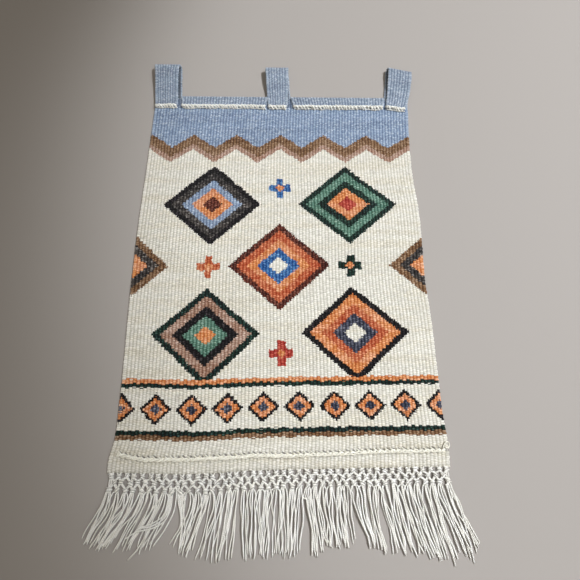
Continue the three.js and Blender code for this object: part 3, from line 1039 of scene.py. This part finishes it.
def add_knot(yarns, centre, size, rng):
    """An overhand knot: a round core and a yarn that wraps it aslant."""
    tone = rng.uniform(0, 1)
    wide, tall, deep = KNOT_CORE
    up = np.linspace(-1, 1, 7)
    core = centre + np.stack([0 * up, up * tall * size, 0 * up], -1)
    girth = np.sqrt(1.04 - up**2)
    yarns.add(core, wide * size * girth, deep * girth, tone=tone)
    part = np.linspace(0, 1, 28)
    angle = rng.uniform(0, 2 * math.pi) + part * 2 * math.pi * rng.uniform(*WRAP_TURNS)
    tilt = rng.uniform(-WRAP_TILT, WRAP_TILT)
    wide, tall, deep = WRAP
    across = wide * size * np.cos(angle)
    along = mix(tall, -tall, part) * size
    wrap = np.stack([
        across * math.cos(tilt) - along * math.sin(tilt),
        across * math.sin(tilt) + along * math.cos(tilt),
        deep * np.sin(angle),
    ], -1)
    yarns.add(centre + wrap, WRAP_RADIUS, sides=6, hint=(math.sin(-tilt), math.cos(tilt), 0), tone=tone)


def add_link(yarns, start, end, bow, rng):
    """A short yarn between two knots."""
    middle = mix(start, end, 0.5) + (bow, 0, rng.uniform(-0.4, 0.5))
    add_stitch(yarns, (start, middle, end), 1.5, LINK_RADIUS, rng)


def add_edge_links(yarns, knots, rng):
    """Two yarns from the cloth's edge to each knot of the first row."""
    for knot in knots:
        for side in (-1, 1):
            x = knot[0] + side * 3.3
            start = np.array([x, bottom_edge(x) + 1.0, 2.3])
            add_link(yarns, start, knot + (side * 1.2, 2.4, 0.2), side * 0.4, rng)


def add_net_links(yarns, upper, lower, rng):
    """Two yarns from each knot of a row to each of its neighbours in the row below."""
    for knot in lower:
        for other in upper[np.abs(upper[:, 0] - knot[0]) < LINK_REACH]:
            side = np.sign(other[0] - knot[0])
            for yarn in (-1.0, 1.0):
                start = other + (-side * 1.3 + yarn, -3.0, rng.uniform(-0.6, 0.9))
                end = knot + (side * 1.1 + yarn * 0.6, 3.2, rng.uniform(-0.4, 0.7))
                add_link(yarns, start, end, side * rng.uniform(-0.2, 0.6), rng)


def fringe_knots_piece(material):
    rng = np.random.default_rng(SEEDS["knots"])
    yarns = Yarns()
    rows = [knot_places(row, rng) for row in KNOT_ROWS]
    for row, places in zip(KNOT_ROWS, rows):
        for centre in places:
            add_knot(yarns, centre, row["size"] * rng.uniform(0.85, 1.15), rng)
    add_edge_links(yarns, rows[0], rng)
    add_net_links(yarns, rows[0], rows[1], rng)
    add_net_links(yarns, rows[1], rows[2], rng)
    for end in (0, -1):
        for yarn in (-0.9, 0.9):
            add_link(yarns, rows[0][end] + (yarn, -2.5, 0), rows[2][end] + (yarn, 2.5, 0), yarn, rng)
    return yarns.piece("fringe_knots", material), rows[2]


# Places where the floor shows through between bundles: how far up, where across, and half how wide.
FRINGE_SLOTS = (
    ((-33, -188, 1), (-45, -179, 2.5), (-65, -178.5, 5), (-95, -185, 13), (-120, -194, 20)),
    ((-45, -77, 1), (-65, -77, 3.8), (-129, -74, 6.5)),
    ((-60, 38, 1), (-92, 39, 7), (-126, 36, 9)),
    ((-50, 117, 0.5), (-75, 121, 5), (-105, 131, 9), (-127, 139, 4)),
    ((-48, 163, 0.5), (-70, 163, 3), (-95, 168, 5), (-120, 175, 4)),
)
SLOT_REACH = 18.0
SLOT_START = 14
STRAND_STEPS = 38
STRAND_RADIUS = 1.27
STRAND_COUNTS = [4, 4, 5]
STRAND_SPREAD = (7.0, 12.0)
STRAND_ROOM = 2.3


def bundle_tip(root_x):
    """Where the middle of a knot's bundle ends."""
    return np.array([curve_at(STRAND_ROOT, STRAND_TIP, root_x), curve_at(STRAND_ROOT, STRAND_DROP, root_x)])


def parted(flat, root_x):
    """The same strand, pushed aside by the slots beside it."""
    flat = flat.copy()
    for slot in FRINGE_SLOTS:
        up, across, half = np.array(slot[::-1], float).T
        centre = np.interp(flat[:, 1], up, across)
        wide = np.interp(flat[:, 1], up, half) * smoothstep(-flat[:, 1], -up[-1] - SLOT_START, -up[-1])
        side = 1 if root_x > across[-1] else -1
        away = np.maximum(side * (flat[:, 0] - centre), 0)
        near = away < 4 * SLOT_REACH
        moved = centre + side * (away + (wide + STRAND_RADIUS) * np.exp(-away / SLOT_REACH))
        flat[:, 0] = np.where(near & (wide > 0), moved, flat[:, 0])
    return flat


def strand_line(root, tip, spread, offset, sway, rng):
    """A loose strand that leaves its knot downwards and bends towards its tip."""
    part = np.linspace(0, 1, STRAND_STEPS)
    length = np.linalg.norm(tip - root)
    way = unit(tip - root)
    first = root + (offset * 2.4 + sway * 0.5, -0.33 * length)
    second = tip - way * (0.35 * length) + (sway + rng.uniform(-4, 4), 0)
    stages = (root, first, second, tip)
    weights = ((1 - part) ** 3, 3 * part * (1 - part) ** 2, 3 * part**2 * (1 - part), part**3)
    flat = sum(weight[:, None] * stage for weight, stage in zip(weights, stages))
    side = np.array([-way[1], way[0]])
    wave = rng.uniform(0.7, 3.0) * np.sin(part * rng.uniform(3, 9) + rng.uniform(0, 6))
    wave += rng.uniform(0.15, 0.7) * np.sin(part * rng.uniform(11, 18) + rng.uniform(0, 6))
    opening = spread * part ** rng.choice([0.3, 0.5, 0.9])
    flat = flat + side * (offset * opening + wave * np.minimum(part * 3, 1))[:, None]
    flat = parted(flat, root[0])
    low = STRAND_RADIUS + 0.2 + rng.uniform(0, 4.0) * (1 - 0.5 * part)
    low += 0.3 * (1 + np.sin(part * 9 + rng.uniform(0, 6)))
    height = mix(KNOT_HEIGHT, low, smoothstep(part, 0.0, 0.35))
    return np.concatenate([flat, height[:, None]], 1)


def add_strand(yarns, line, rng):
    part = np.linspace(0, 1, len(line))
    line = line.copy()
    line[:, 2] = np.maximum(line[:, 2], STRAND_RADIUS * 1.2)
    width = STRAND_RADIUS * rng.uniform(0.86, 1.08) * (1 - 0.35 * smoothstep(part, 0.93, 1.0))
    width = width * (1 + 0.06 * np.sin(part * rng.uniform(20, 34) + rng.uniform(0, 6)))
    yarns.add(line, width, width * 0.93, sides=7, tone=rng.uniform(0, 1))


STRAY_KNOTS = (-188.5, 9)  # two knots that have only strays: their middle, and how far they reach
STRAYS = (  # strands that each go their own way, by points along them
    # A bundle that crosses over its neighbours.
    (
        (-194, -27, 3), (-195, -56, 3.6), (-200, -73, 5), (-221, -85, 6),
        (-243, -89, 6), (-249, -98, 4.6), (-257, -111, 3),
    ),
    (
        (-192, -27, 3), (-193, -56, 4), (-198, -76, 5.4), (-219, -88, 6.4),
        (-241, -92, 6.2), (-252, -97, 4.8), (-263, -104, 3),
    ),
    (
        (-195, -27, 3), (-198, -54, 3), (-203, -70, 4.6), (-222, -82, 5.6),
        (-240, -87, 5.8), (-247, -94, 4.4), (-252, -108, 3),
    ),
    # What is left of the same two knots, either side of the open floor.
    ((-192, -27, 3), (-192, -42, 3), (-196, -61, 2.6), (-208, -80, 2.4), (-217, -92, 2.2), (-233, -116, 2)),
    (
        (-190, -27, 3), (-190, -44, 3), (-192, -62, 2.8),
        (-201, -80, 2.6), (-212, -98, 2.4), (-222, -112, 2.2),
    ),
    ((-184, -27, 3), (-183, -45, 3), (-186, -65, 2.6), (-193, -80, 2.4), (-202, -96, 2.2), (-216, -115, 2)),
    ((-182, -27, 3), (-177, -45, 3), (-173, -68, 2.6), (-170, -92, 2.4), (-171, -118, 2)),
    ((-180, -27, 3), (-174, -44, 3.4), (-169, -66, 3), (-165, -92, 2.6), (-166, -114, 2)),
    ((-182, -27, 3), (-179, -48, 3), (-173, -72, 3), (-174, -88, 2.4), (-181, -99, 2.2), (-189, -112, 2)),
    (
        (-181, -27, 2.6), (-175, -50, 2.6), (-171, -74, 2.4),
        (-171, -90, 2.2), (-177, -101, 2), (-183, -117, 2),
    ),
    # Single strands on the left and right of the fringe.
    ((-205, -27, 3), (-214, -60, 3.4), (-226, -92, 4), (-240, -118, 4), (-255, -134, 2)),
    ((-301, -26, 3), (-307, -50, 3), (-319, -91, 2.4), (-330, -111, 2)),
    ((285, -26, 3), (290, -42, 3), (299, -60, 3), (311, -92, 2.4), (323, -124, 2)),
    ((287, -12, 2.6), (290, -33, 3), (298, -56, 3.4), (307, -100, 2.6), (313, -146, 2)),
    ((281, -26, 3), (286, -48, 3), (294, -74, 3), (302, -108, 2.4), (308, -141, 2)),
    ((262, -26, 3), (265, -52, 3), (270, -84, 3.4), (276, -120, 3), (281, -150, 2)),
)


def fringe_strands_piece(knots, material):
    rng = np.random.default_rng(SEEDS["strands"])
    yarns = Yarns()
    for knot in knots:
        if abs(knot[0] - STRAY_KNOTS[0]) < STRAY_KNOTS[1]:
            continue
        count = rng.choice(STRAND_COUNTS)
        lean = rng.uniform(-6, 6)
        reach = rng.uniform(-5, 4)
        spread = rng.uniform(*STRAND_SPREAD)
        sway = rng.uniform(-5, 5)
        for offset in np.linspace(-1, 1, count):
            offset += rng.uniform(-0.35, 0.35)
            root = np.array([knot[0] + offset * STRAND_ROOM, knot[1] - 2.6])
            tip = bundle_tip(knot[0]) + (lean + rng.uniform(-5, 5), reach + rng.uniform(-4, 10))
            add_strand(yarns, strand_line(root, tip, spread, offset, sway, rng), rng)
    for points in STRAYS:
        add_strand(yarns, smooth_line(points, 2.6), rng)
    return yarns.piece("fringe_strands", material)


# ---- Camera, floor and light ----

CAMERA_PLACE = (0.0, 35.0, 824.0)
CAMERA_TURN = (19.95, -0.81, -0.59)  # degrees
CAMERA_LENS = 27.062
# The places of lamps are in metres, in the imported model's frame.
KEY_PLACE = (2.9, 0.85, 4.2)
KEY_AIM = (1.482, 0.41, 0)
KEY_RING = 0.3
KEY_LAMPS = 6
KEY_POWER = 175
KEY_LAMP = {
    "spot_size": math.radians(41.9),
    "spot_blend": 0.25,
    "shadow_soft_size": 0.12,
    "color": (0.905, 0.94, 1.0),
}
FILLS = (
    {"name": "sky", "kind": "SUN", "place": (-0.8, 0.4, 1.4), "power": 0.25, "angle": math.radians(50)},
    {"name": "front", "kind": "AREA", "place": (0.1, -1.8, 1.7), "power": 5, "shape": "DISK", "size": 1.6},
)
STUDIO_COLOUR = (1.0, 0.905, 0.77, 1)
STUDIO_STRENGTH = 0.223
FLOOR_COLOUR = (174, 168, 162)
FLOOR_REACH = 4.0


def place_camera():
    camera = bpy.data.cameras.new("camera")
    camera.sensor_width = 36
    camera.lens = CAMERA_LENS
    eye = add_object("camera", camera)
    eye.location = ((np.array(CAMERA_PLACE) + SHIFT) * MM).tolist()
    eye.rotation_euler = [math.radians(angle) for angle in CAMERA_TURN]
    bpy.context.scene.camera = eye


def add_light(name, kind, place, power, aim=(0, 0, 0), **settings):
    light = bpy.data.lights.new(name, kind)
    light.energy = power
    for setting, value in settings.items():
        setattr(light, setting, value)
    lamp = add_object(name, light)
    lamp.location = place
    way = np.array(aim, float) - place
    lean = math.atan2(math.hypot(way[0], way[1]), -way[2])
    lamp.rotation_euler = (lean, 0, math.atan2(way[1], way[0]) - math.pi / 2)


def set_light():
    """A ring of key lamps whose pool of light ends softly across the left of the cloth, and even fills."""
    for lamp in range(KEY_LAMPS):
        turn = 2 * math.pi * lamp / KEY_LAMPS
        place = np.array(KEY_PLACE) + (KEY_RING * math.cos(turn), KEY_RING * math.sin(turn), 0)
        add_light(f"key_{lamp}", "SPOT", place, KEY_POWER, KEY_AIM, **KEY_LAMP)
    for fill in FILLS:
        add_light(**fill)
    world = bpy.data.worlds.new("studio")
    world.use_nodes = True
    background = world.node_tree.nodes["Background"]
    background.inputs["Color"].default_value = STUDIO_COLOUR
    background.inputs["Strength"].default_value = STUDIO_STRENGTH
    bpy.context.scene.world = world
    bpy.context.scene.view_settings.view_transform = "Standard"


def lay_floor():
    mesh = bpy.data.meshes.new("floor")
    corners = [(x * FLOOR_REACH, y * FLOOR_REACH, 0) for x, y in ((-1, -1), (1, -1), (1, 1), (-1, 1))]
    mesh.from_pydata(corners, [], [(0, 1, 2, 3)])
    material, _, shader = cloth_shader("floor")
    shader.inputs["Sheen Weight"].default_value = 0.0
    shader.inputs["Base Color"].default_value = linear(FLOOR_COLOUR)
    shader.inputs["Roughness"].default_value = 0.7
    mesh.materials.append(material)
    add_object("floor", mesh)


# ---- Assembly ----

def take_place(piece, slot, *nodes):
    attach(piece, "root")
    if nodes:
        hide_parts(*nodes)
    return piece


place_camera()
set_light()
lay_floor()

panel_wool = weave_material("panel_wool", tapestry_design)
tab_wool = weave_material("tab_wool", plain_blue, TAB_INNER_SHADE)
white_thread = yarn_material("white_thread", (255, 255, 249), (255, 253, 242), 5.0, crease_shade=0.2)
cream_cord = yarn_material("cream_cord", (255, 253, 240), (255, 251, 234), 5.0, crease_shade=0.14, under_shade=0.25)
fringe_yarn = yarn_material("fringe_yarn", (255, 254, 248), (248, 245, 235), 6.5, crease_shade=0.24, under_shade=0.48)

panel = take_place(panel_piece(panel_wool), "panel_cloth", "panel")
trims = [take_place(panel_selvedges(panel_wool), "panel_cloth")]
for tab in TABS:
    cloth = take_place(tab_piece(tab, tab_wool), "tab_cloth", f"tab_{tab['name']}")
    edges = take_place(tab_selvedges(tab, tab_wool), "tab_cloth")
for node, ends in seam_ends().items():
    trims.append(take_place(seam_piece(node, ends, white_thread), "thread", node))
trims.append(take_place(twined_piece(cream_cord), "thread", "twined_row"))
knots, last_knots = fringe_knots_piece(fringe_yarn)
trims.append(take_place(knots, "fringe_yarn", "fringe"))
trims.append(take_place(fringe_strands_piece(last_knots, fringe_yarn), "fringe_yarn", "fringe"))
